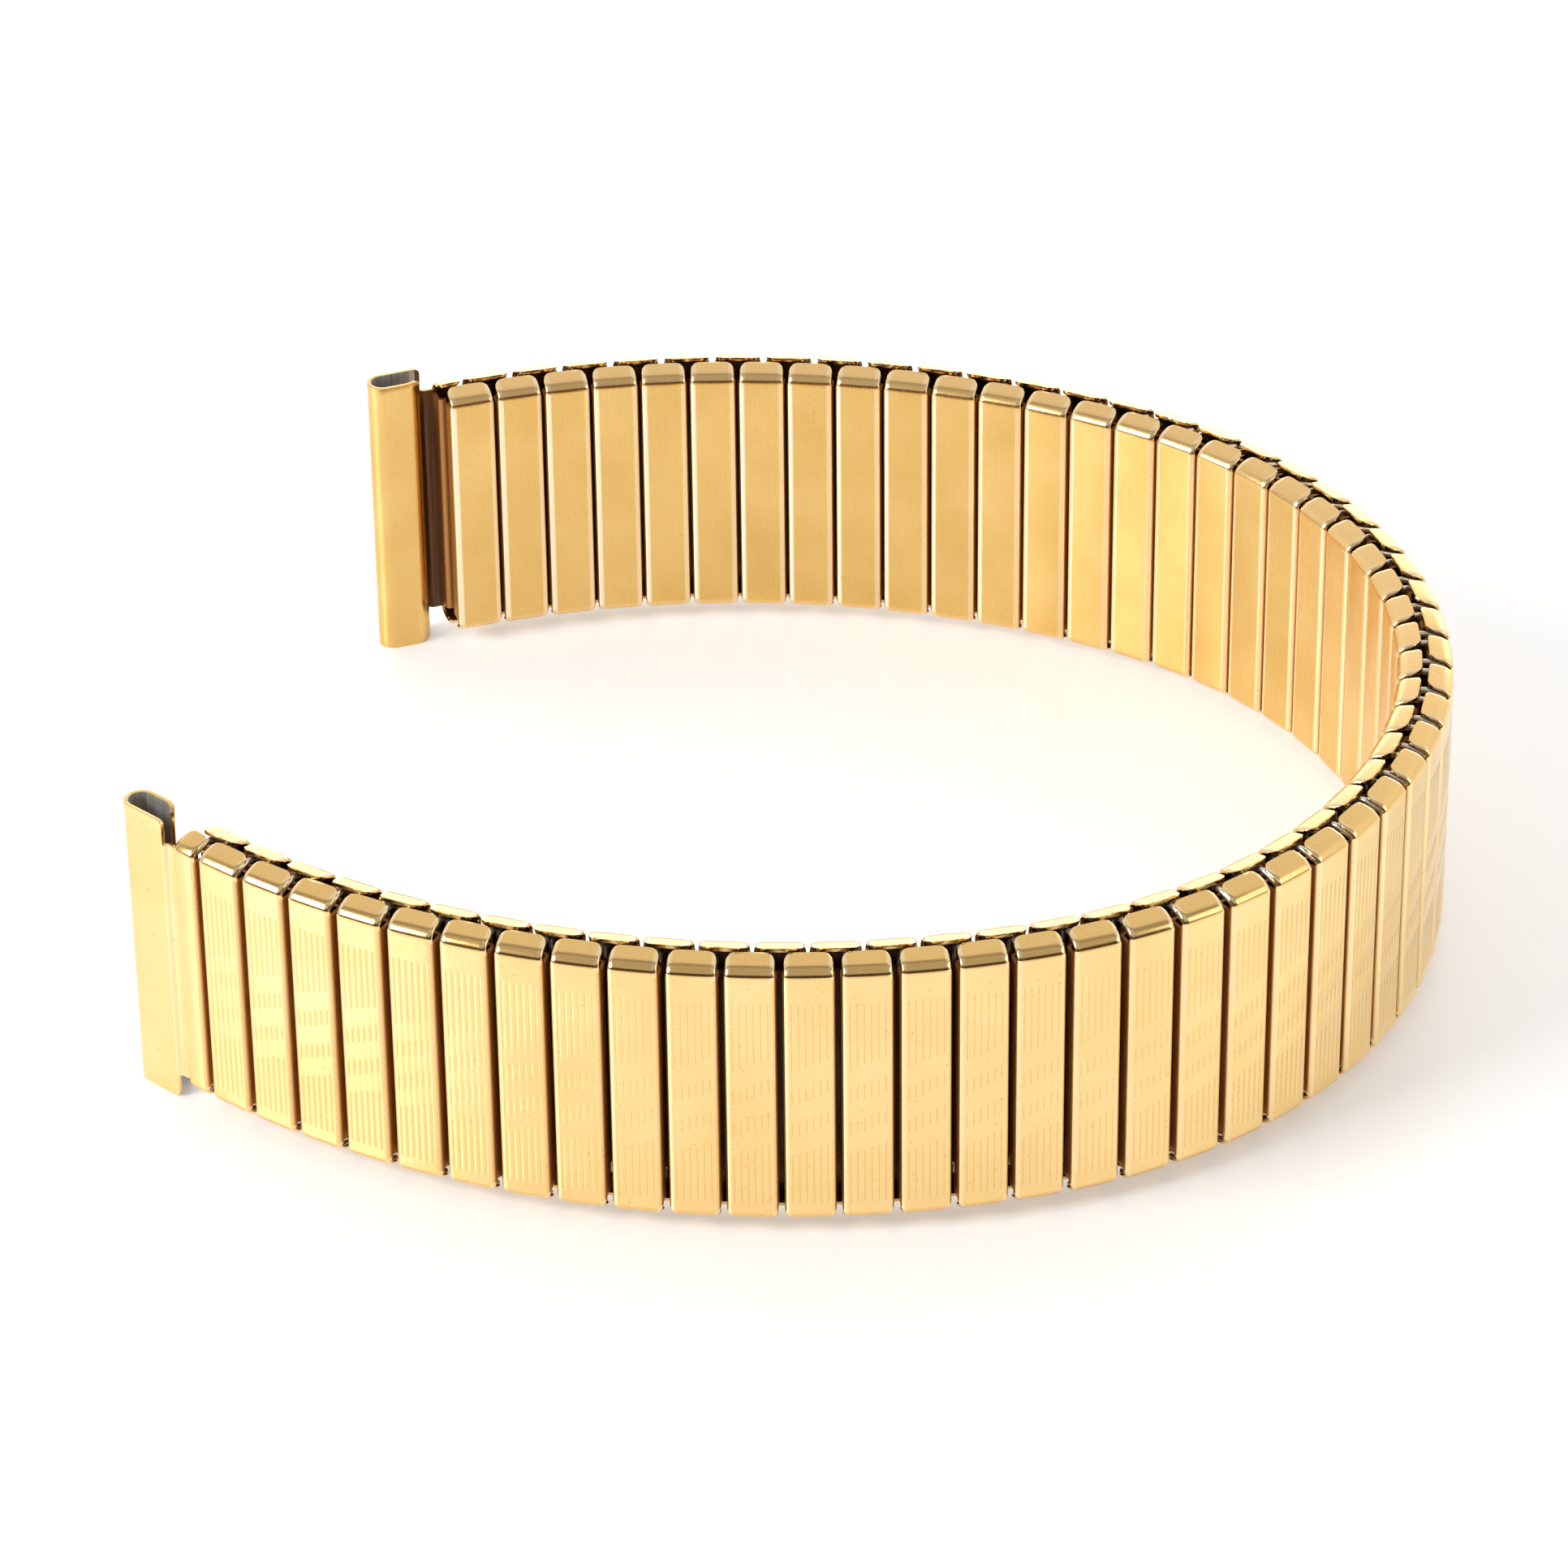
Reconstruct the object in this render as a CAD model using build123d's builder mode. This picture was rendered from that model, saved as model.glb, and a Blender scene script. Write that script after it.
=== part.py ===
from build123d import *
from math import cos, radians, sin, tan
import os

os.makedirs("parts", exist_ok=True)

# An expansion watch band: two rows of sleeve links, half a pitch out of step, joined by wire bows at both
# band edges and pressed closed by a bowed leaf spring in every link. It stands on edge, open towards -X,
# with its origin under the middle of its outline. All sizes are in millimetres.
# Each link has its own frame: x along the band, y outward through the thickness, z across the width.

# The band and its links
outer_link_count = 53
link_pitch = 3.0  # along the middle of the thickness
link_gap = 0.24  # between neighbours of one row
face_width = 15.1  # a link's flat face, from cap fold to cap fold
band_thickness = 3.2
row_gap = 0.4  # between the outer and the inner row
sheet = 0.2  # folded sheet of the links
edge_bend = 0.32  # outside radius of the long folded edges
flange_width = 0.6  # inside fold of each side wall
wall_setback = 0.28  # the side walls stop this far short of the cap fold

# The domed cap folded over each band edge
cap_fold = 0.35  # outside radius of the fold
cap_turn = 70.0  # degrees from the face
cap_inset = 0.25  # the cap is this much narrower than the link on each side
cap_corner = 0.5

# The connecting bows, bent from round wire
bow_wire = 0.34
bow_leg = 5.0
bow_bend = 0.26  # centre line radius at each corner
bow_crown = 0.35  # rise of the crosspiece between the two rows
bow_side_clearance = 0.02  # leg to side wall of the outer link, and of the inner link at full stretch
bow_face_clearance = 0.06  # leg to the inside of the face

# The leaf springs
spring_sheet = 0.15
spring_width = 2.0
spring_length = 13.0
spring_clearance = 0.03

# The end pieces
end_sheet = 0.25
head_width = 18.0  # across the band, to fit between the lugs of a watch
head_length = 3.45
bar_bore = 1.4  # the round end of the tube, where a spring bar lies
lip_run = 1.15  # flat side of the tube, against the wrist
lip_radius = 1.2  # outside radius where the sheet turns up again
lip_turn = 60.0  # degrees
neck_length = 0.75
neck_step = 0.15  # the neck lies this far under the head's face
neck_slope = 0.25
stub_length = 1.55  # the short sleeve that stands in the outer row
stub_corner = 0.3
stub_slit_share = 0.3

# The plan: one long bend between two flatter arms. Link places are counted from the back end.
bend_radius = 30.0
bend_length = 69.5
bend_middle = 51  # the link place at the middle of the bend, a little nearer to the back end
arm_radius = 48.5

# Groups of links between the pivots that turn
group_count = 11

# Worked out from the sizes above
half_pitch = link_pitch / 2
link_count = 2 * outer_link_count + 1
link_length = link_pitch - link_gap
outer_face = band_thickness / 2
row_bottom = row_gap / 2
row_depth = outer_face - row_bottom
row_middle = (outer_face + row_bottom) / 2
fold_height = face_width / 2
wall_height = fold_height - wall_setback
wall_inside = link_length / 2 - sheet
hollow_length = link_length - 2 * sheet
hollow_depth = row_depth - 2 * sheet
slit_width = hollow_length - 2 * flange_width
cap_width = link_length - 2 * cap_inset
leg_x = wall_inside - bow_side_clearance - bow_wire / 2
leg_y = outer_face - sheet - bow_face_clearance - bow_wire / 2
head_height = head_width / 2
stub_start = -link_length / 2
stub_end = stub_start + stub_length
neck_end = stub_end + neck_length
head_end = neck_end + head_length
tube_radius = bar_bore / 2 + end_sheet
tube_x = head_end - tube_radius
tube_y = outer_face - tube_radius

# The cap's outline in the link's y-z plane, from the fold up to its edge over the gap between the rows
turn = radians(cap_turn)
fold_centre_y = outer_face - cap_fold
fold_end_y = fold_centre_y + cap_fold * cos(turn)
fold_end_z = fold_height + cap_fold * sin(turn)
cap_top = fold_end_z + (fold_end_y - row_bottom) / tan(turn)
under_fold_y = fold_end_y - sheet * cos(turn)
under_fold_z = fold_end_z - sheet * sin(turn)
under_top = under_fold_z + (under_fold_y - row_bottom) / tan(turn)
half_turn_share = 0.5
mid_turn = half_turn_share * turn

# The bow's crosspiece lies under the caps, past the ends of the side walls
crosspiece_z = wall_height + bow_side_clearance + bow_wire / 2

# The plan of the band's middle line. Distance runs clockwise from the middle of the bend, and the longer arm
# sets how far the outline reaches on the open side.
bend_half = bend_length / 2
bend_angle = bend_half / bend_radius
end_angle = bend_angle + ((link_count - bend_middle) * half_pitch - bend_half) / arm_radius
arm_shift = bend_radius - arm_radius
end_x = arm_shift * cos(bend_angle) + arm_radius * cos(end_angle)
head_reach = tube_x * sin(end_angle) - tube_y * cos(end_angle) + tube_radius
bend_centre_x = -(bend_radius + outer_face + end_x - head_reach) / 2
mid_height = head_width / 2


def band_plane(link):
    """The plane of one link place: x along the band, y outward, z across its width."""
    distance = (link - bend_middle) * half_pitch
    side = 1 if distance >= 0 else -1
    if abs(distance) <= bend_half:
        angle = distance / bend_radius
        centre_x = bend_centre_x
        centre_y = 0
        radius = bend_radius
    else:
        angle = side * (bend_angle + (abs(distance) - bend_half) / arm_radius)
        centre_x = bend_centre_x + arm_shift * cos(bend_angle)
        centre_y = -side * arm_shift * sin(bend_angle)
        radius = arm_radius
    origin = (centre_x + radius * cos(angle), centre_y - radius * sin(angle), mid_height)
    return Plane(origin=origin, x_dir=(-sin(angle), -cos(angle), 0), z_dir=(0, 0, 1))


def is_outer(link):
    return link % 2 == 1


# Sleeve link: a sheet channel whose folded side walls turn in along the gap between the rows
with BuildPart() as channel:
    with BuildSketch(Plane.XY.offset(-wall_height)):
        with Locations((0, row_middle)):
            RectangleRounded(link_length, row_depth, edge_bend)
            RectangleRounded(hollow_length, hollow_depth, edge_bend - sheet, mode=Mode.SUBTRACT)
        with Locations((0, row_bottom)):
            Rectangle(slit_width, 2 * edge_bend, mode=Mode.SUBTRACT)
    extrude(amount=2 * wall_height)

# The face runs on past the side walls to the fold of each cap
with BuildPart() as face_plate:
    with BuildSketch(Plane.XY.offset(-fold_height)):
        with Locations((0, row_middle)):
            RectangleRounded(link_length, row_depth, edge_bend)
            RectangleRounded(hollow_length, hollow_depth, edge_bend - sheet, mode=Mode.SUBTRACT)
        with Locations((0, outer_face - edge_bend)):
            Rectangle(2 * link_length, 2 * row_depth, align=(Align.CENTER, Align.MAX), mode=Mode.SUBTRACT)
    extrude(amount=2 * fold_height)


def folded_cap(width, corner):
    """The cap of one band edge: round the fold, then a straight slope up to the gap between the rows."""
    with BuildPart() as cap:
        with BuildSketch(Plane.YZ):
            with BuildLine():
                Line((outer_face - sheet, fold_height), (outer_face, fold_height))
                ThreePointArc(
                    (outer_face, fold_height),
                    (fold_centre_y + cap_fold * cos(mid_turn), fold_height + cap_fold * sin(mid_turn)),
                    (fold_end_y, fold_end_z),
                )
                Line((fold_end_y, fold_end_z), (row_bottom, cap_top))
                Line((row_bottom, cap_top), (row_bottom, under_top))
                Line((row_bottom, under_top), (under_fold_y, under_fold_z))
                ThreePointArc(
                    (under_fold_y, under_fold_z),
                    (
                        fold_centre_y + (cap_fold - sheet) * cos(mid_turn),
                        fold_height + (cap_fold - sheet) * sin(mid_turn),
                    ),
                    (outer_face - sheet, fold_height),
                )
            make_face()
        extrude(amount=width / 2, both=True)
        with BuildSketch(Plane.XY.offset(wall_height)) as plan:
            with Locations((0, row_bottom)):
                Rectangle(width, row_depth, align=(Align.CENTER, Align.MIN))
            fillet(plan.vertices().group_by(Axis.Y)[0], corner)
        extrude(amount=cap_top, mode=Mode.INTERSECT)
    return cap.part


link_cap = folded_cap(cap_width, cap_corner)

with BuildPart() as outer_link:
    add(channel.part)
    add(face_plate.part)
    add(link_cap)
    mirror(link_cap, about=Plane.XY)

with BuildPart() as inner_link:
    mirror(outer_link.part, about=Plane.XZ)

# Leaf spring: a bowed strip that lies on the flanges at its middle and under the bow legs at its ends
spring_low = row_bottom + sheet + spring_clearance
spring_high = leg_y - bow_wire / 2 - spring_clearance
spring_under = spring_high - spring_sheet
spring_end = spring_length / 2

with BuildPart() as outer_spring:
    with BuildSketch(Plane.YZ):
        with BuildLine():
            ThreePointArc((spring_under, -spring_end), (spring_low, 0), (spring_under, spring_end))
            Line((spring_under, spring_end), (spring_high, spring_end))
            ThreePointArc(
                (spring_high, spring_end),
                (spring_low + spring_sheet, 0),
                (spring_high, -spring_end),
            )
            Line((spring_high, -spring_end), (spring_under, -spring_end))
        make_face()
    extrude(amount=spring_width / 2, both=True)

with BuildPart() as inner_spring:
    mirror(outer_spring.part, about=Plane.XZ)

# Connecting bow: a wire staple whose crosspiece rises to a crown in the gap between the rows
leg_tip = crosspiece_z - bow_leg
crown_z = crosspiece_z + bow_crown
crown_y = row_bottom

with BuildPart() as upper_bow:
    with BuildLine(Plane.YZ):
        FilletPolyline(
            (leg_y, leg_tip),
            (leg_y, crosspiece_z),
            (crown_y, crown_z),
            (-crown_y, crown_z),
            (-leg_y, crosspiece_z),
            (-leg_y, leg_tip),
            radius=bow_bend,
        )
    with BuildSketch(Plane.XY.offset(leg_tip)):
        with Locations((0, leg_y)):
            Circle(bow_wire / 2)
    sweep()

with BuildPart() as bow_pair:
    add(upper_bow.part)
    mirror(upper_bow.part, about=Plane.XY)

# End piece at the front end of the band: the head's face, curled at its end to a flat tube. The tube is round
# where the spring bar lies and ends in a lip. Then come the neck and the capped stub by the last outer link.
tube_low = outer_face - 2 * tube_radius
lip_x = tube_x - lip_run
lip_y = tube_low + lip_radius
lip_across = -sin(radians(lip_turn))
lip_rise = -cos(radians(lip_turn))
inner_lip = lip_radius - end_sheet

with BuildPart() as head:
    with BuildSketch(Plane.XY.offset(-head_height)):
        with BuildLine():
            Line((neck_end, outer_face), (tube_x, outer_face))
            CenterArc((tube_x, tube_y), tube_radius, 90, -180)
            Line((tube_x, tube_low), (lip_x, tube_low))
            CenterArc((lip_x, lip_y), lip_radius, 270, -lip_turn)
            Line(
                (lip_x + lip_radius * lip_across, lip_y + lip_radius * lip_rise),
                (lip_x + inner_lip * lip_across, lip_y + inner_lip * lip_rise),
            )
            CenterArc((lip_x, lip_y), inner_lip, 270, -lip_turn)
            Line((lip_x, tube_low + end_sheet), (tube_x, tube_low + end_sheet))
            CenterArc((tube_x, tube_y), bar_bore / 2, 90, -180)
            Line((tube_x, outer_face - end_sheet), (neck_end, outer_face - end_sheet))
            Line((neck_end, outer_face - end_sheet), (neck_end, outer_face))
        make_face()
    extrude(amount=head_width)

with BuildPart() as neck:
    with BuildSketch(Plane.XY.offset(-fold_height)):
        with BuildLine():
            Polyline(
                (neck_end, outer_face),
                (neck_end - neck_slope, outer_face - neck_step),
                (stub_end - sheet, outer_face - neck_step),
                (stub_end - sheet, outer_face - neck_step - end_sheet),
                (neck_end - neck_slope, outer_face - neck_step - end_sheet),
                (neck_end, outer_face - end_sheet),
                close=True,
            )
        make_face()
    extrude(amount=2 * fold_height)

stub_middle = (stub_start + stub_end) / 2
stub_hollow = stub_length - 2 * sheet

with BuildPart() as stub_channel:
    with BuildSketch(Plane.XY.offset(-wall_height)):
        with Locations((stub_middle, row_middle)):
            RectangleRounded(stub_length, row_depth, edge_bend)
            RectangleRounded(stub_hollow, hollow_depth, edge_bend - sheet, mode=Mode.SUBTRACT)
        with Locations((stub_middle, row_bottom)):
            Rectangle(stub_slit_share * stub_length, 2 * edge_bend, mode=Mode.SUBTRACT)
    extrude(amount=2 * wall_height)

with BuildPart() as stub_plate:
    with BuildSketch(Plane.XY.offset(-fold_height)):
        with Locations((stub_middle, row_middle)):
            RectangleRounded(stub_length, row_depth, edge_bend)
            RectangleRounded(stub_hollow, hollow_depth, edge_bend - sheet, mode=Mode.SUBTRACT)
        with Locations((stub_middle, outer_face - edge_bend)):
            Rectangle(2 * stub_length, 2 * row_depth, align=(Align.CENTER, Align.MAX), mode=Mode.SUBTRACT)
    extrude(amount=2 * fold_height)

stub_cap = folded_cap(stub_length - 2 * cap_inset, stub_corner)

with BuildPart() as front_piece:
    add(head.part)
    add(neck.part)
    add(stub_channel.part)
    add(stub_plate.part)
    with Locations((stub_middle, 0)):
        add(stub_cap)
        add(stub_cap.mirror(Plane.XY))

with BuildPart() as back_piece:
    mirror(front_piece.part, about=Plane.YZ)


def write_node(part, name):
    part.label = name
    export_step(part, f"parts/{name}.step")


def write_bows(name, links):
    """One node of bow pairs, each between a link and the next one, at the wall of the outer sleeve."""
    with BuildPart() as bows:
        with Locations([band_plane(link) for link in links if is_outer(link)]):
            with Locations((leg_x, 0)):
                add(bow_pair.part)
        with Locations([band_plane(link + 1) for link in links if not is_outer(link)]):
            with Locations((-leg_x, 0)):
                add(bow_pair.part)
    write_node(bows.part, name)


# The links lie in groups. Inside a group the bows ride with their links, and between groups, and at each end
# piece, a pair of bows is a node of its own that turns in the outer sleeve and slides in the inner one.
group_starts = [round(group * link_count / group_count) for group in range(group_count + 1)]

for group in range(group_count):
    links = range(group_starts[group], group_starts[group + 1])
    number = f"{group + 1:02d}"

    with BuildPart() as outer_links:
        with Locations([band_plane(link) for link in links if is_outer(link)]):
            add(outer_link.part)
    write_node(outer_links.part, f"outer_links_{number}")

    with BuildPart() as inner_links:
        with Locations([band_plane(link) for link in links if not is_outer(link)]):
            add(inner_link.part)
    write_node(inner_links.part, f"inner_links_{number}")

    with BuildPart() as leaf_springs:
        with Locations([band_plane(link) for link in links if is_outer(link)]):
            add(outer_spring.part)
        with Locations([band_plane(link) for link in links if not is_outer(link)]):
            add(inner_spring.part)
    write_node(leaf_springs.part, f"leaf_springs_{number}")

    write_bows(f"connecting_bows_{number}", links[:-1])

for joint in range(group_count + 1):
    write_bows(f"pivot_bows_{joint + 1:02d}", [group_starts[joint] - 1])

with BuildPart() as back_end_piece:
    with Locations(band_plane(-1)):
        add(back_piece.part)
write_node(back_end_piece.part, "end_piece_back")

with BuildPart() as front_end_piece:
    with Locations(band_plane(link_count)):
        add(front_piece.part)
write_node(front_end_piece.part, "end_piece_front")
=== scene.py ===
import math
import random

import bmesh
import bpy
from mathutils import Matrix, Vector


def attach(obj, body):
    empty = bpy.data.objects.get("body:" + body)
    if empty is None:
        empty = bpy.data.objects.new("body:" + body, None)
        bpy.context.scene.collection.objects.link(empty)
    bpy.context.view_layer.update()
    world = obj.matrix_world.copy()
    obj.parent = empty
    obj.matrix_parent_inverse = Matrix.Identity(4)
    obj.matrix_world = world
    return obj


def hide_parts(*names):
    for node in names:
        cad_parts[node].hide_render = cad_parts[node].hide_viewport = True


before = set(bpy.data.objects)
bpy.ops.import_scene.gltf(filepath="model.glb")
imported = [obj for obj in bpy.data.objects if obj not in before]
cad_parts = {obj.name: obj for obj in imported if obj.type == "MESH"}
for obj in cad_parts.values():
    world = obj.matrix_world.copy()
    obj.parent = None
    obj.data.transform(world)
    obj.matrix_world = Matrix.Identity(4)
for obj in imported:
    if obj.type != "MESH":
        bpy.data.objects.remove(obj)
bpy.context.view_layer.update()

print("stage: frame loaded,", len(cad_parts), "CAD nodes")

# Sizes are in millimetres, as on a drawing of the band. mm turns them to metres where a piece is placed.
mm = 0.001
random.seed(7)


# Small helpers for colours, nodes and objects

def hexColour(text):
    # sRGB hex to the linear values that the shaders take
    channels = [int(text[place:place + 2], 16) / 255 for place in (1, 3, 5)]
    return (*[c / 12.92 if c <= 0.04045 else ((c + 0.055) / 1.055) ** 2.4 for c in channels], 1.0)


def addNode(tree, kind, settings=None, inputs=None):
    # inputs takes plain values, or the output sockets that feed them
    node = tree.nodes.new(kind)
    for name, value in (settings or {}).items():
        setattr(node, name, value)
    for socket, value in (inputs or {}).items():
        if isinstance(value, bpy.types.NodeSocket):
            tree.links.new(value, node.inputs[socket])
        else:
            node.inputs[socket].default_value = value
    return node


def mathNode(tree, operation, *values, clamp=False):
    settings = {"operation": operation, "use_clamp": clamp}
    return addNode(tree, "ShaderNodeMath", settings, dict(enumerate(values))).outputs[0]


def mixTone(tree, factor, first, second):
    return addNode(tree, "ShaderNodeMix", {"data_type": "RGBA"}, {
        "Factor": factor, "A": first, "B": second}).outputs["Result"]


def spread(tree, value, start, end, low=0.0, high=1.0, smooth=False):
    # value between start and end becomes low to high
    kind = {"interpolation_type": "SMOOTHSTEP" if smooth else "LINEAR"}
    return addNode(tree, "ShaderNodeMapRange", kind, {
        "Value": value, "From Min": start, "From Max": end, "To Min": low, "To Max": high}).outputs[0]


def attribute(tree, name):
    return addNode(tree, "ShaderNodeAttribute", {"attribute_name": name}).outputs["Fac"]


def finishWith(tree, inputs):
    # ends a material with a principled shader
    shader = addNode(tree, "ShaderNodeBsdfPrincipled", inputs=inputs)
    addNode(tree, "ShaderNodeOutputMaterial", inputs={"Surface": shader.outputs[0]})


def newMaterial(name):
    material = bpy.data.materials.new(name)
    material.use_nodes = True
    material.node_tree.nodes.clear()
    return material, material.node_tree


def meshFrom(bm, name):
    mesh = bpy.data.meshes.new(name)
    bm.to_mesh(mesh)
    bm.free()
    return mesh


def bakedMesh(mesh, modifiers, name):
    # runs modifiers on a mesh once, and returns a plain mesh that is gold outside and bare steel inside
    mesh.materials.append(gold)
    mesh.materials.append(steel)
    holder = bpy.data.objects.new(name + "Holder", mesh)
    bpy.context.scene.collection.objects.link(holder)
    for kind, settings in modifiers:
        modifier = holder.modifiers.new(kind, kind)
        for key, value in settings.items():
            setattr(modifier, key, value)
    evaluated = holder.evaluated_get(bpy.context.evaluated_depsgraph_get())
    result = bpy.data.meshes.new_from_object(evaluated)
    result.name = name
    bpy.data.objects.remove(holder)
    return result


# Materials

outerGoldSettings = {
    "flat": "#fbdb9c",  # rolled face
    "deep": "#f7d18d",  # patches where the gold is a little thicker
    "edge": "#ffedc4",  # painted highlight along folds
    "cap": "#efc57f",  # caps: painted shade, a deeper gold than the face
    "grooveShade": "#dfbf78",  # painted shade on the floor of an engraved line
    "wallShade": "#bd7838",  # painted shade on the side walls in the gaps, which are also duller
    "pit": "#b98545",  # specks where the gold is porous
    "foldHighlight": 0.4,  # how far each of these tones shows
    "grooveShadeShow": 0.6,
    "wallShadeShow": 0.8,
    "pitShow": 0.35,
    "pitRange": (0.68, 0.76),  # of the noise
    "patchRange": (0.3, 0.75),
    "glossRange": (0.3, 0.7),
    "wallMetal": 0.65,
    "wallRoughness": 0.25,  # added on the side walls
    "rollSpacing": 0.07,  # mm, real rolling marks are about 0.02 and would not show
    "rollLength": 4.0,
    "patch": 5.0,  # mm
    "speck": 0.16,  # mm
    "roughness": (0.13, 0.21),
    "bump": 0.0012,  # mm
}
# the inner row is a darker copy of the gold: painted shade; its caps are a little paler: painted light
shadedInnerGoldSettings = {
    **outerGoldSettings,
    "flat": "#ebc57d", "deep": "#dfb568", "edge": "#fdeac6", "cap": "#eec584",
    "speck": 0.12, "foldHighlight": 1.0, "roughness": (0.2, 0.3)}


def goldPlatedSteel(name, own):
    # Thin gold over rolled stainless strip: a satin metal, with faint marks along each link from the rolling
    # and a few dark specks where the gold is porous. Painted highlight pales the folds, painted shade darkens
    # the engraved lines and side walls, and the caps take a tone of painted shading.
    material, tree = newMaterial(name)
    coords = addNode(tree, "ShaderNodeTexCoord").outputs["Object"]
    roll = addNode(tree, "ShaderNodeMapping", inputs={
        "Vector": coords,
        "Scale": (1000 / own["rollSpacing"], 1000 / own["rollSpacing"], 1000 / own["rollLength"])})
    rollNoise = addNode(tree, "ShaderNodeTexNoise", inputs={
        "Vector": roll.outputs[0], "Scale": 1.0, "Detail": 3.0, "Roughness": 0.6})
    patchNoise = addNode(tree, "ShaderNodeTexNoise", inputs={
        "Vector": coords, "Scale": 1000 / own["patch"], "Detail": 2.0})
    speckNoise = addNode(tree, "ShaderNodeTexNoise", inputs={
        "Vector": coords, "Scale": 1000 / own["speck"], "Detail": 1.0, "Roughness": 0.4})
    speckMask = spread(tree, speckNoise.outputs["Fac"], *own["pitRange"], high=own["pitShow"])
    patchMask = spread(tree, patchNoise.outputs["Fac"], *own["patchRange"])
    highlight, cap, grooveShade, wall = (attribute(tree, name) for name in ("highlight", "cap", "grooveShade", "wall"))
    flatTone = mixTone(tree, patchMask, hexColour(own["flat"]), hexColour(own["deep"]))
    # painted shading: the caps take their own tone
    capTone = mixTone(tree, cap, flatTone, hexColour(own["cap"]))
    # painted highlight: the folds go paler
    highlightMask = mathNode(tree, "MULTIPLY", highlight, own["foldHighlight"])
    highlightedTone = mixTone(tree, highlightMask, capTone, hexColour(own["edge"]))
    # painted shade on the floors of the engraved lines
    grooveShadeMask = mathNode(tree, "MULTIPLY", grooveShade, own["grooveShadeShow"])
    grooveShadedTone = mixTone(tree, grooveShadeMask, highlightedTone, hexColour(own["grooveShade"]))
    tone = mixTone(tree, speckMask, grooveShadedTone, hexColour(own["pit"]))
    # painted shade on the side walls
    wallShadeMask = mathNode(tree, "MULTIPLY", wall, own["wallShadeShow"])
    wallTone = mixTone(tree, wallShadeMask, tone, hexColour(own["wallShade"]))
    wallMetal = spread(tree, wall, 0.0, 1.0, low=1.0, high=own["wallMetal"])
    gloss = spread(tree, rollNoise.outputs["Fac"], *own["glossRange"], *own["roughness"])
    wallGloss = mathNode(tree, "MULTIPLY_ADD", wall, own["wallRoughness"], gloss)
    relief = mathNode(tree, "SUBTRACT", rollNoise.outputs["Fac"], speckMask)
    bump = addNode(tree, "ShaderNodeBump", inputs={
        "Height": relief, "Strength": 0.5, "Distance": own["bump"] * mm})
    finishWith(tree, {
        "Base Color": wallTone, "Metallic": wallMetal, "Roughness": wallGloss, "Normal": bump.outputs[0]})
    return material


steelSettings = {
    "light": "#dad6d0",
    "dark": "#96908a",
    "metal": 0.6,  # dulled where it was formed
    "streak": 0.14,  # mm between streaks
    "streakLength": 7.0,
    "range": (0.3, 0.7),  # of the noise
    "roughness": (0.35, 0.5),
    "bump": 0.002,
}


def bareStainlessSteel(name, own):
    # Bare rolled stainless, which the strip shows on its inside, and the wire and springs all over:
    # grey, with long streaks from the rolling or drawing that catch the light unevenly.
    material, tree = newMaterial(name)
    coords = addNode(tree, "ShaderNodeTexCoord").outputs["Object"]
    scale = (1000 / own["streak"], 1000 / own["streak"], 1000 / own["streakLength"])
    streak = addNode(tree, "ShaderNodeMapping", inputs={"Vector": coords, "Scale": scale})
    noise = addNode(tree, "ShaderNodeTexNoise", inputs={
        "Vector": streak.outputs[0], "Scale": 1.0, "Detail": 4.0, "Roughness": 0.65}).outputs["Fac"]
    mask = spread(tree, noise, *own["range"])
    smoothest, roughest = own["roughness"]
    gloss = spread(tree, noise, *own["range"], low=roughest, high=smoothest)
    bump = addNode(tree, "ShaderNodeBump", inputs={
        "Height": noise, "Strength": 0.5, "Distance": own["bump"] * mm})
    finishWith(tree, {
        "Base Color": mixTone(tree, mask, hexColour(own["dark"]), hexColour(own["light"])),
        "Metallic": own["metal"], "Roughness": gloss, "Normal": bump.outputs[0]})
    return material


wireSettings = {
    **steelSettings, "light": "#fff4e2", "dark": "#d6c6ab", "metal": 0.8,
    "streak": 0.05, "streakLength": 0.6, "roughness": (0.14, 0.24)}
# dark brown painted shade inside the sleeves and the neck
insideShadeSettings = {**steelSettings, "light": "#7e5530", "dark": "#56361b", "metal": 0.4}
# dark brown painted shade where the springs show in the gaps
springShadeSettings = {**steelSettings, "light": "#6b4526", "dark": "#46290f", "metal": 0.6}

gold = goldPlatedSteel("goldPlatedSteel", outerGoldSettings)
shadedInnerGold = goldPlatedSteel("goldPlatedSteelInnerShaded", shadedInnerGoldSettings)
steel = bareStainlessSteel("bareStainlessStrip", steelSettings)
shadedInsideSteel = bareStainlessSteel("stripInsidePaintedShade", insideShadeSettings)
wireSteel = bareStainlessSteel("drawnStainlessWire", wireSettings)
shadedSpringSteel = bareStainlessSteel("springStripPaintedShade", springShadeSettings)
print("stage: materials made")

# The plan of the band, seen from above: one long bend between two flatter arms

band = {
    "outerLinks": 53,
    "pitch": 3.0,
    "groups": 11,
    "bendRadius": 30.0,
    "bendLength": 69.5,
    "bendMiddle": 51,
    "armRadius": 48.5,
    "thickness": 3.2,
    "tilt": 0.4,  # degrees, how far a link may stand out of line
}

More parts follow.
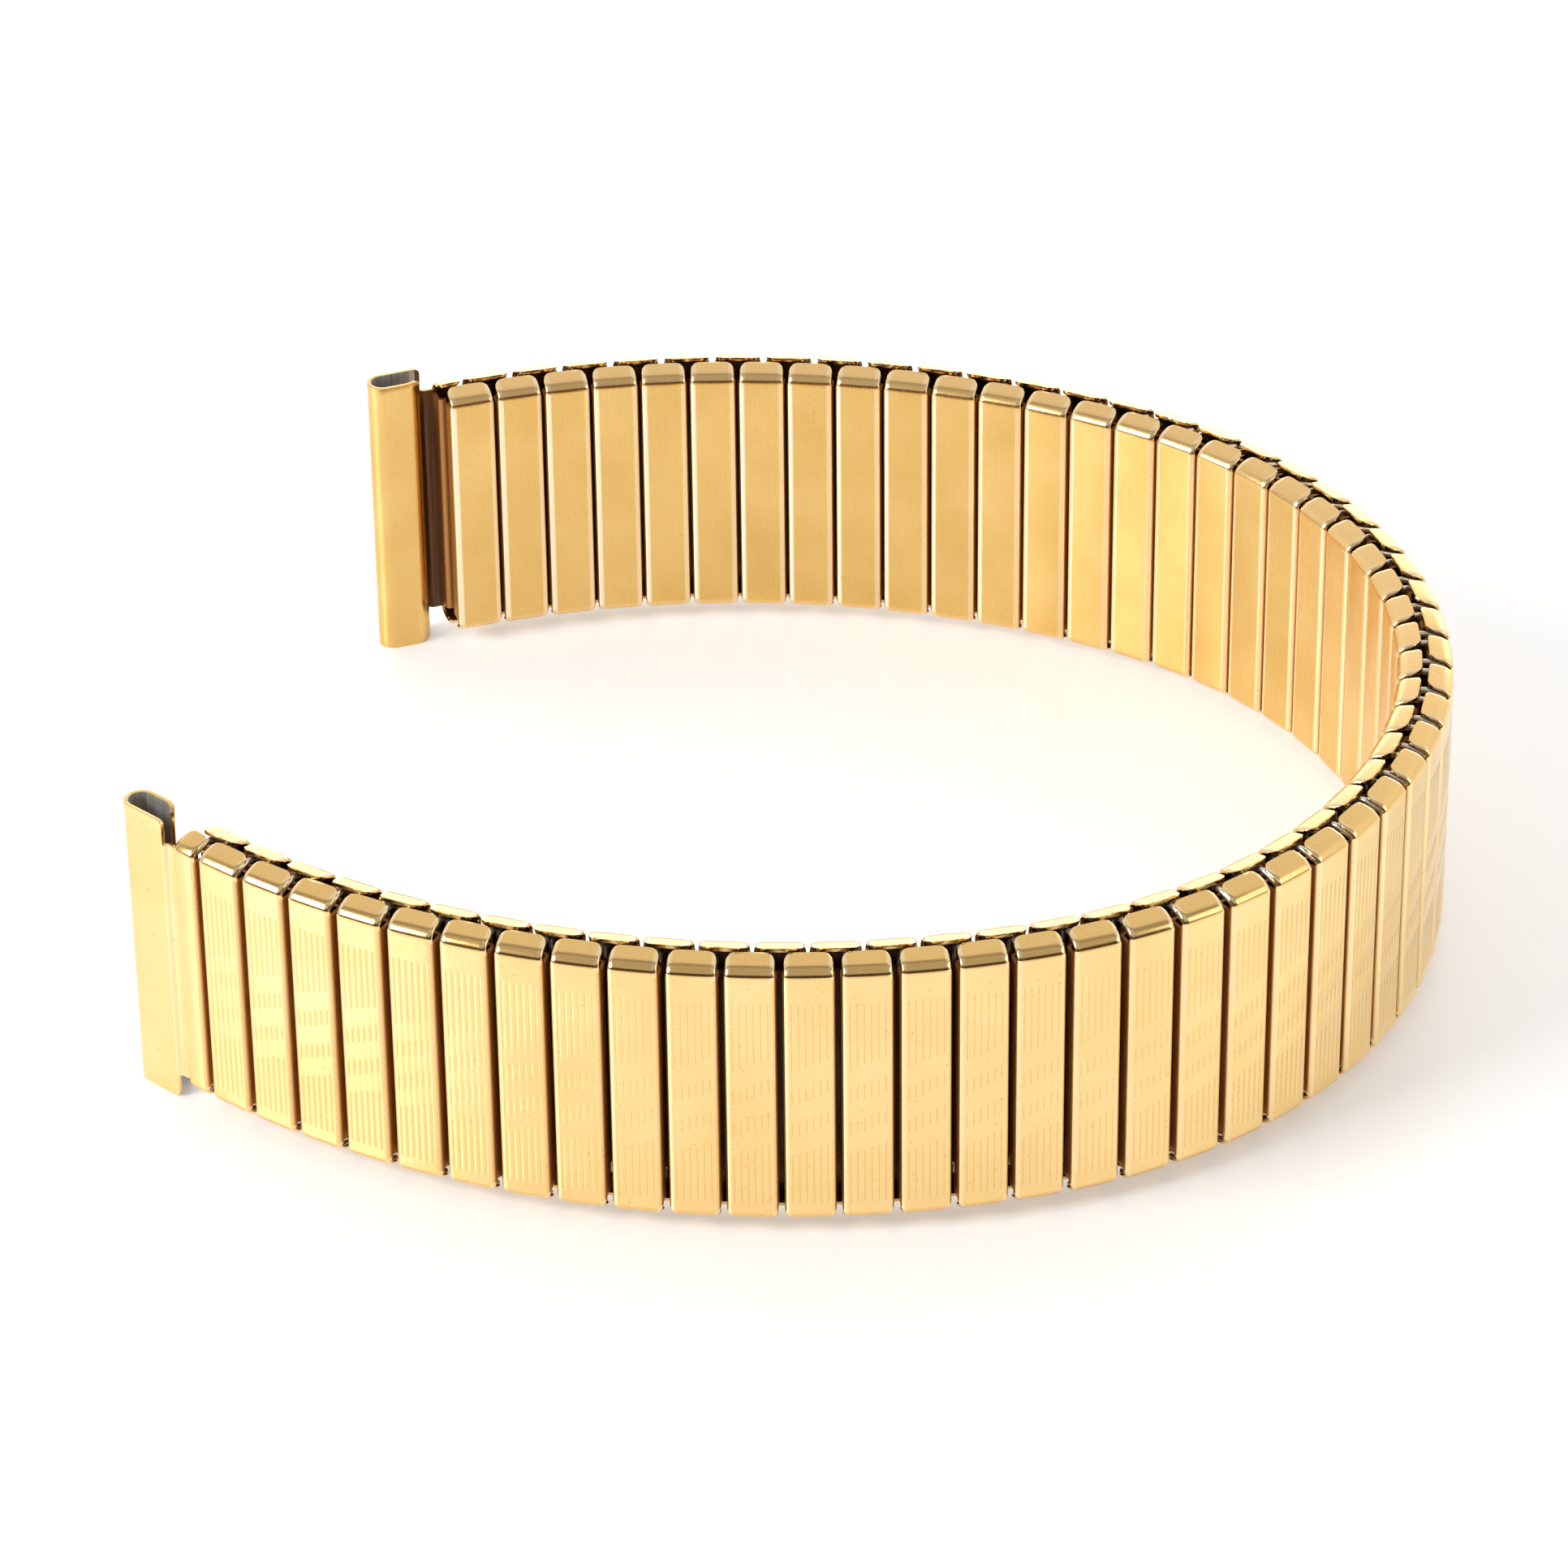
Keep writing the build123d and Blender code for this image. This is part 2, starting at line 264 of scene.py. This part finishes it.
sleeve = {
    "length": 2.76,
    "rowGap": 0.4,
    "sheet": 0.2,
    "edgeBend": 0.32,
    "flange": 0.6,
    "faceWidth": 15.1,
    "wallSetback": 0.28,
    "crown": 0.02,
    "capStart": 7.47,  # height at which the fold leaves the face
    "capFolds": [(35, 0.5), (76, 1.0)],  # turned so far in degrees, at this radius
    "capInset": 0.1,
    "capCorner": 0.55,
    "capDraw": 0.95,  # the drawn cap is this much narrower than the sleeve
    "capFlat": 0.55,  # and its rounded sides are this much shallower, so that the bows pass under them
    "drawTurn": 0.5,  # radians of the fold in which the cap draws in
    "flatTurn": 0.4,  # and in which its sides grow shallow
    "toneTurn": 0.3,  # and in which it takes the caps' tone of painted shading
    "sidePower": 1.6,  # how the end of each side wall is rounded off
    "endRun": 0.3,  # from the end of the side walls to the first plain row
    "flats": [0, 0.375, 0.75, 0.9, 0.98],  # key places on half the face
    "foldShares": (0.17, 0.56, 0.78, 1),  # and in the long fold
    "underShares": (1, 1.25, 1.5, 1.75, 2),  # and in the fold under the side wall
    "foldSteps": 5,
    "slopeSteps": 4,
    "edgeEnd": 0.7,  # share of the long fold at which the painted highlight stops
    "wallShadeLeft": 0.6,  # share of the long fold at which the painted shade of the side walls starts
    "wallShadeRise": 0.4,
    "rim": 0.03,
}
sleeve["slit"] = sleeve["length"] - 2 * sleeve["sheet"] - 2 * sleeve["flange"]

engraving = {
    "lines": 6,
    "spacing": 0.375,
    "halfWidth": 0.055,
    "halfFloor": 0.022,
    "depth": 0.022,
    "ramp": 0.09,
    "marginBelow": 0.05,
    "marginAbove": 0.2,
    "slant": -0.4,  # the breaks climb to the right, seen from outside
    "runs": [(6.0, 2.0), (0.9, -0.15), (-1.25, -2.25), (-3.3, -6.9)],
}

endPiece = {
    "sheet": 0.25,
    "headWidth": 18.0,
    "headLength": 3.45,
    "barBore": 1.4,
    "lipRun": 1.15,
    "lipRadius": 1.2,
    "lipTurn": 60,
    "neckLength": 0.75,
    "neckStep": 0.2,
    "neckSlope": 0.3,
    "neckLap": 0.2,  # the neck starts this far inside the stub
    "neckFlat": 0.3,
    "neckShine": 0.35,  # run of the step that takes the painted highlight
    "insideRun": 0.4,  # the inside in brown painted shade runs this far past the neck
    "headSteps": (0.04, 0.1, 0.18, 0.3, 0.8, 1.4, 1.9),  # rows on the flat of the head
    "slopeSteps": 6,
    "tubeSteps": 20,
    "lipSteps": 10,
    "stubLength": 1.55,
    "stubCorner": 0.3,
    "stubSlit": 0.465,
    "headCorner": 0.3,
    "lipCorner": 0.6,
    "cornerShare": 0.9,  # share of the half width past which the corners are rounded
    "rim": 0.035,
}

halfPitch = band["pitch"] / 2
linkCount = 2 * band["outerLinks"] + 1
outerFace = band["thickness"] / 2
stubEnd = endPiece["stubLength"] - sleeve["length"] / 2
neckEnd = stubEnd + endPiece["neckLength"]
tubeRadius = endPiece["barBore"] / 2 + endPiece["sheet"]
tubeX = neckEnd + endPiece["headLength"] - tubeRadius
tubeY = outerFace - tubeRadius
midHeight = endPiece["headWidth"] / 2

bendHalf = band["bendLength"] / 2
bendAngle = bendHalf / band["bendRadius"]
armShift = band["bendRadius"] - band["armRadius"]
endAngle = bendAngle + ((linkCount - band["bendMiddle"]) * halfPitch - bendHalf) / band["armRadius"]
endX = armShift * math.cos(bendAngle) + band["armRadius"] * math.cos(endAngle)
headReach = tubeX * math.sin(endAngle) - tubeY * math.cos(endAngle) + tubeRadius
bendCentreX = -(band["bendRadius"] + outerFace + endX - headReach) / 2


def bandPlace(link):
    # matrix of one link place, from the link's own millimetres: x along the band, y outward, z up
    distance = (link - band["bendMiddle"]) * halfPitch
    side = 1 if distance >= 0 else -1
    if abs(distance) <= bendHalf:
        angle = distance / band["bendRadius"]
        centre = Vector((bendCentreX, 0, midHeight))
        radius = band["bendRadius"]
    else:
        angle = side * (bendAngle + (abs(distance) - bendHalf) / band["armRadius"])
        centreX = bendCentreX + armShift * math.cos(bendAngle)
        centre = Vector((centreX, -side * armShift * math.sin(bendAngle), midHeight))
        radius = band["armRadius"]
    along = Vector((-math.sin(angle), -math.cos(angle), 0))
    outward = Vector((math.cos(angle), -math.sin(angle), 0))
    turned = Matrix((along, outward, (0, 0, 1))).transposed().to_4x4()
    return Matrix.Scale(mm, 4) @ Matrix.Translation(centre + radius * outward) @ turned


def sheetMesh(bm, name, own):
    # gives the rows their thickness, inward, and breaks the sheet's edges
    return bakedMesh(meshFrom(bm, name + "Sheet"), [
        ("SOLIDIFY", {
            "thickness": own["sheet"], "offset": -1, "use_even_offset": True, "material_offset": 1}),
        ("BEVEL", {
            "width": own["rim"], "segments": 2, "limit_method": "ANGLE", "angle_limit": math.radians(60)}),
    ], name)


# Sheet pieces are rows of points across the band, each row keyed by the distance round the sheet's section

def bridgeRows(bm, lower, upper):
    shared = sorted(set(lower) & set(upper))
    for start, end in zip(shared, shared[1:]):
        below = [lower[key] for key in sorted(lower) if start <= key <= end]
        above = [upper[key] for key in sorted(upper) if start <= key <= end]
        bm.faces.new(below[::-1] + above)


def sleevePoint(s, half, own):
    # the sleeve's section: crowned face, long folded edges, side walls and inturned flanges
    r = own["edgeBend"]
    arc = r * math.pi / 2
    top = outerFace - own["crown"]
    low = own["rowGap"] / 2
    wall = top - low - 2 * r
    a = abs(s)
    side = 1 if s >= 0 else -1
    if a <= half:
        return side * a, outerFace - own["crown"] * (a / half) ** 2
    a -= half
    if a <= arc:
        return side * (half + r * math.sin(a / r)), top - r + r * math.cos(a / r)
    a -= arc
    if a <= wall:
        return side * (half + r), top - r - a
    a -= wall
    if a <= arc:
        return side * (half + r * math.cos(a / r)), low + r - r * math.sin(a / r)
    return side * (half - (a - arc)), low


def sleeveMesh(name, own, lines=None):
    # lines is the engraving, if the face has any
    half = own["length"] / 2 - own["edgeBend"]
    r = own["edgeBend"]
    arc = r * math.pi / 2
    wall = outerFace - own["crown"] - own["rowGap"] / 2 - 2 * r
    flats, corner = own["flats"], own["capCorner"]
    capHalf = own["length"] / 2 - own["capInset"]
    capKey = half + r * math.asin((capHalf - half) / r)
    bends = [capKey, *(half + share * arc for share in own["foldShares"])]
    under = [half + share * arc + wall for share in own["underShares"]]
    under.append(under[-1] + half - own["slit"] / 2)
    foldHeight = own["capStart"]
    wallHeight = own["faceWidth"] / 2 - own["wallSetback"]
    wallDrop = foldHeight - wallHeight

    def bothSides(keys):
        return sorted({round(sign * key, 5) for key in keys for sign in (-1, 1)})

    grooves = {}
    if lines:
        for line in range(lines["lines"]):
            middle = (line - (lines["lines"] - 1) / 2) * lines["spacing"]
            for side in (-1, 1):
                grooves[round(middle + side * lines["halfWidth"], 5)] = 0
                grooves[round(middle + side * lines["halfFloor"], 5)] = 1

    bm = bmesh.new()
    highlightLayer = bm.verts.layers.float.new("highlight")
    grooveShadeLayer = bm.verts.layers.float.new("grooveShade")
    capLayer = bm.verts.layers.float.new("cap")
    wallLayer = bm.verts.layers.float.new("wall")
    leftEdge, rightEdge = own["edges"]

    def foldHighlight(key):
        # how far the fold of a long edge takes the painted highlight, left and right as the face is seen
        if half + own["edgeStart"] * arc < abs(key) < half + own["edgeEnd"] * arc:
            return leftEdge if key > 0 else rightEdge
        return 0.0

    def wallShade(key):
        # the painted shade of the side walls starts in the long folds
        start = own["wallShadeLeft"] if key > 0 else own["wallShadeRight"]
        return max(0.0, min(1.0, ((abs(key) - half) / arc - start) / own["wallShadeRise"]))

    def addRow(z, keys, slant=0.0, depth=0.0):
        row = {}
        for key in keys:
            x, y = sleevePoint(key, half, own)
            fade = max(0.0, min(1.0, (half + arc - abs(key)) / arc))
            y -= depth * grooves.get(key, 0)
            row[key] = bm.verts.new((x, y, z + slant * x * fade))
            row[key][highlightLayer] = foldHighlight(key)
            # the groove floors take the painted shade
            row[key][grooveShadeLayer] = grooves.get(key, 0) if depth else 0.0
            row[key][wallLayer] = wallShade(key)
        return row

    def foldRow(side):
        # the last row of the face, where the caps start, rounded off towards the side walls
        row = {}
        for key in bothSides([*flats, half, *bends]):
            x, y = sleevePoint(key, half, own)
            if abs(key) <= capKey + 1e-4:
                z = foldHeight
            else:
                u = (abs(key) - capKey) / (half + arc - capKey)
                z = foldHeight - wallDrop * u ** own["sidePower"]
            row[key] = bm.verts.new((x, y, side * z))
            row[key][highlightLayer] = foldHighlight(key)
            row[key][capLayer] = 0.0
        return row

    def capRows(side, base):
        # the whole rounded section goes round the fold and up the slope, drawn in a little at the sides
        rows = []
        y0, z0, turned = outerFace, foldHeight, 0.0
        for degrees, radius in own["capFolds"]:
            turnEnd = math.radians(degrees)
            centreY, centreZ = y0 - radius * math.cos(turned), z0 - radius * math.sin(turned)
            for step in range(1, own["foldSteps"] + 1):
                t = turned + (turnEnd - turned) * step / own["foldSteps"]
                draw = 1 - (1 - own["capDraw"]) * min(1.0, t / own["drawTurn"])
                flat = 1 - (1 - own["capFlat"]) * min(1.0, t / own["flatTurn"])
                row = {}
                for key in base:
                    x, y, z = base[key].co
                    reach = radius - (outerFace - y) * flat
                    z = side * (centreZ + reach * math.sin(t))
                    row[key] = bm.verts.new((x * draw, centreY + reach * math.cos(t), z))
                    # where the long folds carry the painted highlight, the cap above them carries it too
                    row[key][highlightLayer] = own["capEdge"] if foldHighlight(key) else 0.0
                    row[key][capLayer] = min(1.0, t / own["toneTurn"])
                rows.append(row)
            y0, z0 = centreY + radius * math.cos(turnEnd), centreZ + radius * math.sin(turnEnd)
            turned = turnEnd
        last = rows[-1]
        for step in range(1, own["slopeSteps"] + 1):
            row = {}
            for key in base:
                x, y, z = last[key].co
                inset = max(0.0, abs(x) - (capHalf - corner))
                rounding = corner - math.sqrt(max(0.0, corner ** 2 - min(inset, corner) ** 2))
                free = own["rowGap"] / 2 + rounding
                down = (y - free) * (step / own["slopeSteps"])
                row[key] = bm.verts.new((x, y - down, z + side * down / math.tan(turnEnd)))
                row[key][highlightLayer] = last[key][highlightLayer]
                row[key][capLayer] = 1.0
            rows.append(row)
        return rows

    coarse = bothSides([*flats, half, *bends, *under])
    mid = wallHeight - own["endRun"]
    rows = []
    bottomFold = foldRow(-1)
    rows.append(bottomFold)
    rows.append(addRow(-wallHeight, coarse))
    rows.append(addRow(-mid, coarse))
    if lines:
        spots = [place * lines["spacing"] for place in range(lines["lines"] // 2)]
        between = bothSides([*spots, half, *bends, *under])
        fine = sorted(set(between) | set(grooves))
        for upper, lower in reversed(lines["runs"]):
            last = (upper, lower) == lines["runs"][-1]
            first = (upper, lower) == lines["runs"][0]
            lowSlant = 0 if last else lines["slant"]
            highSlant = 0 if first else lines["slant"]
            if last:
                rows.append(addRow(lower - lines["marginBelow"], between))
            rows.append(addRow(lower, fine, lowSlant))
            rows.append(addRow(lower + lines["ramp"], fine, lowSlant, lines["depth"]))
            rows.append(addRow(upper - lines["ramp"], fine, highSlant, lines["depth"]))
            rows.append(addRow(upper, fine, highSlant))
            if first:
                rows.append(addRow(upper + lines["marginAbove"], between))
    rows.append(addRow(mid, coarse))
    rows.append(addRow(wallHeight, coarse))
    topFold = foldRow(1)
    rows.append(topFold)
    for lower, upper in zip(rows, rows[1:]):
        bridgeRows(bm, lower, upper)
    caps = capRows(1, topFold)
    for lower, upper in zip([topFold, *caps], caps):
        bridgeRows(bm, lower, upper)
    caps = capRows(-1, bottomFold)
    for lower, upper in zip(caps, [bottomFold, *caps]):
        bridgeRows(bm, lower, upper)
    return sheetMesh(bm, name, own)


def assembledPiece(name, parts):
    # one mesh object from several baked meshes, each placed by its own matrix
    bm = bmesh.new()
    for mesh, matrix in parts:
        copy = mesh.copy()
        copy.transform(matrix)
        if matrix.determinant() < 0:
            copy.flip_normals()
        bm.from_mesh(copy)
        bpy.data.meshes.remove(copy)
    for face in bm.faces:
        face.smooth = True
    piece = bpy.data.objects.new(name, meshFrom(bm, name))
    bpy.context.scene.collection.objects.link(piece)
    piece.data.materials.append(gold)
    piece.data.materials.append(steel)
    shading = piece.modifiers.new("WeightedNormal", "WEIGHTED_NORMAL")
    shading.weight = 60
    return piece


# edges: how far the left and the right fold takes the painted highlight, as the face is seen
outerSleeve = sleeveMesh("outerSleeve", {
    **sleeve, "edges": (1.0, 0.2), "edgeStart": 0.1, "capEdge": 1.2, "wallShadeRight": 0.35}, engraving)
innerSleeve = sleeveMesh("innerSleeve", {
    **sleeve, "edges": (1.0, 0.5), "edgeStart": -0.1, "capEdge": 0.4, "wallShadeRight": 0.6,
    "capFolds": [(35, 0.5), (78, 0.9)]})
stubSleeve = sleeveMesh("stubSleeve", {
    **sleeve, "edges": (0.2, 0.2), "edgeStart": 0.1, "capEdge": 0.5, "wallShadeRight": 0.4,
    "length": endPiece["stubLength"], "flats": [0, 0.25], "capCorner": endPiece["stubCorner"],
    "slit": endPiece["stubSlit"]})
print("stage: sleeves made,", len(outerSleeve.polygons), "faces in an outer one")


def headMesh(own):
    # neck, head, tube and lip are one sheet; the section runs along the band and the rows stand across it
    foldHeight = sleeve["faceWidth"] / 2
    headHalf = own["headWidth"] / 2
    neckFace = outerFace - own["neckStep"]
    path = [(stubEnd - own["neckLap"], neckFace), (stubEnd + own["neckFlat"], neckFace)]
    slopeStart = neckEnd - own["neckSlope"]
    for step in range(own["slopeSteps"] + 1):
        share = step / own["slopeSteps"]
        ease = share * share * (3 - 2 * share)
        path.append((slopeStart + own["neckSlope"] * share, outerFace - own["neckStep"] * (1 - ease)))
    headStart = len(path) - 1
    for offset in own["headSteps"]:
        path.append((neckEnd + offset, outerFace))
    for step in range(own["tubeSteps"] + 1):
        angle = math.radians(90 - 180 / own["tubeSteps"] * step)
        path.append((tubeX + tubeRadius * math.cos(angle), tubeY + tubeRadius * math.sin(angle)))
    low = tubeY - tubeRadius
    lipX = tubeX - own["lipRun"]
    lip = own["lipRadius"]
    path.append((tubeX - own["lipRun"] / 2, low))
    for step in range(own["lipSteps"] + 1):
        angle = math.radians(270 - own["lipTurn"] * step / own["lipSteps"])
        path.append((lipX + lip * math.cos(angle), low + lip + lip * math.sin(angle)))
    places = [0.0]
    for (x0, y0), (x1, y1) in zip(path, path[1:]):
        places.append(places[-1] + math.hypot(x1 - x0, y1 - y0))
    headPlace, lipPlace = places[headStart], places[-1]

    def reach(place):
        # the head's half width, rounded at its corners by the neck and at the lip
        height = headHalf
        for corner, away in ((own["headCorner"], place - headPlace), (own["lipCorner"], lipPlace - place)):
            if away < corner:
                rounded = math.sqrt(max(0.0, corner ** 2 - (corner - max(away, 0)) ** 2))
                height = min(height, headHalf - corner + rounded)
        return height

    bm = bmesh.new()
    highlightLayer = bm.verts.layers.float.new("highlight")
    upper = [0.5, foldHeight / headHalf, own["cornerShare"], 0.955, 1.0]
    heights = [*(-share for share in reversed(upper)), 0.0, *upper]
    rows = []
    for share in heights:
        row = {}
        for place, (x, y) in zip(places, path):
            if abs(share) * headHalf > foldHeight + 1e-6 and place < headPlace - 1e-6:
                continue
            z = share * headHalf
            if abs(share) > own["cornerShare"]:
                z = math.copysign(min(abs(z), reach(place) - (1 - abs(share)) * 2), z)
            point = bm.verts.new((x, y, z))
            # the last run of the neck's step takes the painted highlight
            point[highlightLayer] = 1.0 if headPlace - own["neckShine"] < place < headPlace else 0.0
            row[round(place, 5)] = point
        rows.append(row)
    for lower, upper in zip(rows, rows[1:]):
        bridgeRows(bm, lower, upper)
    return sheetMesh(bm, "head", own)


# the end pieces' four materials: gold, bare steel, the inside in brown painted shade, and the gold against
# the wrist, a darker copy that is painted shade
head = headMesh(endPiece)
head.materials.append(shadedInsideSteel)
head.materials.append(shadedInnerGold)
insideEnd = neckEnd + endPiece["insideRun"]
for face in head.polygons:
    if face.material_index == 1 and face.center.x < insideEnd:
        face.material_index = 2
    if face.material_index == 0 and face.center.x > insideEnd and face.center.y < tubeY:
        face.material_index = 3
for face in stubSleeve.polygons:
    face.material_index *= 2
stubMiddle = Matrix.Translation(((stubEnd - sleeve["length"] / 2) / 2, 0, 0))
mirrored = Matrix.Scale(-1, 4, (1, 0, 0))
for name, link, flip, node, body in (
        ("endPieceFront", linkCount, Matrix.Identity(4), "end_piece_front", "front_end"),
        ("endPieceBack", -1, mirrored, "end_piece_back", "back_end")):
    place = bandPlace(link) @ flip
    piece = assembledPiece(name, [(head, place), (stubSleeve, place @ stubMiddle)])
    piece.data.materials.append(shadedInsideSteel)
    piece.data.materials.append(shadedInnerGold)
    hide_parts(node)
    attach(piece, body)
print("stage: end pieces placed")

halfTurn = Matrix.Rotation(math.pi, 4, "Z")
groupStarts = [round(group * linkCount / band["groups"]) for group in range(band["groups"] + 1)]
for group in range(band["groups"]):
    number = f"{group + 1:02d}"
    outer, inner = [], []
    for link in range(groupStarts[group], groupStarts[group + 1]):
        lean = Matrix.Rotation(math.radians(random.uniform(-1, 1) * band["tilt"]), 4, "Z")
        if link % 2 == 1:
            outer.append((outerSleeve, bandPlace(link) @ lean))
        else:
            inner.append((innerSleeve, bandPlace(link) @ lean @ halfTurn))
    for name, parts, node in (
            ("outerSleeves" + number, outer, "outer_links_" + number),
            ("innerSleeves" + number, inner, "inner_links_" + number)):
        piece = assembledPiece(name, parts)
        # the sleeves' inside is brown painted shade
        piece.data.materials[1] = shadedInsideSteel
        if name.startswith("inner"):
            # and the inner row takes the darker gold of painted shade
            piece.data.materials[0] = shadedInnerGold
        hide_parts(node)
        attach(piece, "links_" + number)
print("stage: sleeves placed in", band["groups"], "groups")

# Springs and bows keep their CAD shape, which is the real one
for name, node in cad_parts.items():
    if "bows" in name or "springs" in name:
        # the springs take the dark brown of painted shade
        material = wireSteel if "bows" in name else shadedSpringSteel
        for slot in node.material_slots:
            slot.link = "OBJECT"
            slot.material = material
print("stage: bows and springs finished")

# Floor, light and camera

studio = {
    "floorTone": "#f6f6f6",
    "floorSize": 1.2,
    "floorFill": 0.24,
    "floorGloss": 0.36,
    "floorIor": 1.6,
    "fibres": 900.0,  # in a metre
    "fibreRise": 0.0001,
    "lamps": [
        # name, place in metres, width and height in metres, power in watts
        ("windowLeft", (-0.72, -0.43, 0.54), (0.45, 0.36), 6.8),
        ("softboxRight", (0.85, -0.15, 0.45), (0.5, 0.5), 1.0),
    ],
}


def whiteSweep(own):
    # Coated white backdrop paper: pale and even, it keeps the soft shadow of the band, and its faint sheen
    # carries the window's light into the band's upright faces
    material, tree = newMaterial("whiteCoatedPaper")
    path = addNode(tree, "ShaderNodeLightPath").outputs
    seen = mathNode(tree, "ADD", path["Is Camera Ray"], path["Is Glossy Ray"], clamp=True)
    allSeen = mathNode(tree, "ADD", seen, path["Is Transmission Ray"], clamp=True)
    coords = addNode(tree, "ShaderNodeTexCoord").outputs["Object"]
    fibre = addNode(tree, "ShaderNodeTexNoise", inputs={
        "Vector": coords, "Scale": own["fibres"], "Detail": 3.0})
    bump = addNode(tree, "ShaderNodeBump", inputs={
        "Height": fibre.outputs["Fac"], "Strength": 0.1, "Distance": own["fibreRise"]})
    finishWith(tree, {
        "Base Color": hexColour(own["floorTone"]), "Roughness": own["floorGloss"], "IOR": own["floorIor"],
        "Emission Color": (1, 1, 1, 1),
        "Emission Strength": mathNode(tree, "MULTIPLY", allSeen, own["floorFill"]),
        "Normal": bump.outputs[0]})
    return material


floorShape = bmesh.new()
bmesh.ops.create_grid(floorShape, x_segments=8, y_segments=8, size=studio["floorSize"] / 2)
floor = bpy.data.objects.new("backdropFloor", meshFrom(floorShape, "backdropFloor"))
floor.data.materials.append(whiteSweep(studio))
bpy.context.scene.collection.objects.link(floor)

world = bpy.data.worlds.new("studioWorld")
bpy.context.scene.world = world
world.use_nodes = True
tree = world.node_tree
tree.nodes.clear()
direction = addNode(tree, "ShaderNodeTexCoord").outputs["Generated"]
upward = addNode(tree, "ShaderNodeSeparateXYZ", inputs={"Vector": direction}).outputs

# each pair is where a change of the light starts and ends, in the direction's Y or Z
sky = {
    "sweep": ((0.0, 1.0), (1.0, 0.85), (0.3, 1.0), (0.5, 1.05), (0.75, 0.88), (0.92, 0.86)),  # Z, brightness
    "dark": (0.07, 0.055, 0.04, 1),
    "inFront": (-0.15, -0.5),
    "low": (0.68, 0.5),
    "splitShift": 0.06,
    "split": (0.26, 0.1),
    "splitDark": 0.6,
    "frontShade": (0.0, -0.4),
    "frontDark": 0.45,
    "behind": (0.8, 0.93),
    "nearFloor": (0.4, 0.27),
    "behindGain": 1.5,
}
sweep = addNode(tree, "ShaderNodeValToRGB", inputs={"Fac": upward["Z"]})
stops = sweep.color_ramp.elements
for number, (position, value) in enumerate(sky["sweep"]):
    stop = stops[number] if number < 2 else stops.new(position)
    stop.position, stop.color = position, (value, value, value, 1)

# the dark room low behind the camera, the gap between the two roof panels, and a shade in front
room = mathNode(
    tree, "MULTIPLY", spread(tree, upward["Y"], *sky["inFront"], smooth=True),
    spread(tree, upward["Z"], *sky["low"], smooth=True))
fromMiddle = mathNode(tree, "ABSOLUTE", mathNode(tree, "ADD", upward["Y"], sky["splitShift"]))
split = spread(tree, fromMiddle, *sky["split"], high=sky["splitDark"], smooth=True)
frontShade = spread(tree, upward["Y"], *sky["frontShade"], high=sky["frontDark"], smooth=True)
dark = mathNode(tree, "MAXIMUM", mathNode(tree, "MAXIMUM", room, split), frontShade)

# a low softbox behind the band, which whitens the caps that lean away from the camera
behind = spread(tree, upward["Y"], *sky["behind"], smooth=True)
nearFloor = spread(tree, upward["Z"], *sky["nearFloor"], high=sky["behindGain"], smooth=True)
background = addNode(tree, "ShaderNodeBackground", inputs={
    "Color": mixTone(tree, dark, sweep.outputs["Color"], sky["dark"]),
    "Strength": mathNode(tree, "MULTIPLY_ADD", behind, nearFloor, 1.0)})
addNode(tree, "ShaderNodeOutputWorld", inputs={"Surface": background.outputs[0]})

target = Vector((0, 0, midHeight * mm))
for name, place, size, power in studio["lamps"]:
    lamp = bpy.data.lights.new(name, "AREA")
    lamp.shape = "RECTANGLE"
    lamp.size, lamp.size_y = size
    lamp.energy = power
    lampObject = bpy.data.objects.new(name, lamp)
    lampObject.location = place
    lampObject.rotation_euler = (target - Vector(place)).to_track_quat("-Z", "Y").to_euler()
    bpy.context.scene.collection.objects.link(lampObject)

# The camera stands where the corners of the links in the photograph put it
shot = {
    "place": (41.0860, -326.5374, 218.5172),  # mm
    "yaw": 0.131919588,
    "pitch": 0.569827388,
    "roll": -0.0117996081,
    "lens": 157.98,
}
yaw, pitch, roll = shot["yaw"], shot["pitch"], shot["roll"]
forward = Vector((-math.sin(yaw) * math.cos(pitch), math.cos(yaw) * math.cos(pitch), -math.sin(pitch)))
level = Vector((math.cos(yaw), math.sin(yaw), 0))
down = forward.cross(level)
right = math.cos(roll) * level - math.sin(roll) * down
below = math.sin(roll) * level + math.cos(roll) * down
turned = Matrix((right, -below, -forward)).transposed().to_4x4()
cameraData = bpy.data.cameras.new("camera")
cameraData.sensor_width = 36
cameraData.lens = shot["lens"]
cameraData.clip_start = 0.01
cameraData.clip_end = 10
camera = bpy.data.objects.new("camera", cameraData)
camera.matrix_world = Matrix.Translation(Vector(shot["place"]) * mm) @ turned
bpy.context.scene.collection.objects.link(camera)
bpy.context.scene.camera = camera
bpy.context.scene.view_settings.view_transform = "Standard"
print("stage: studio and camera set")
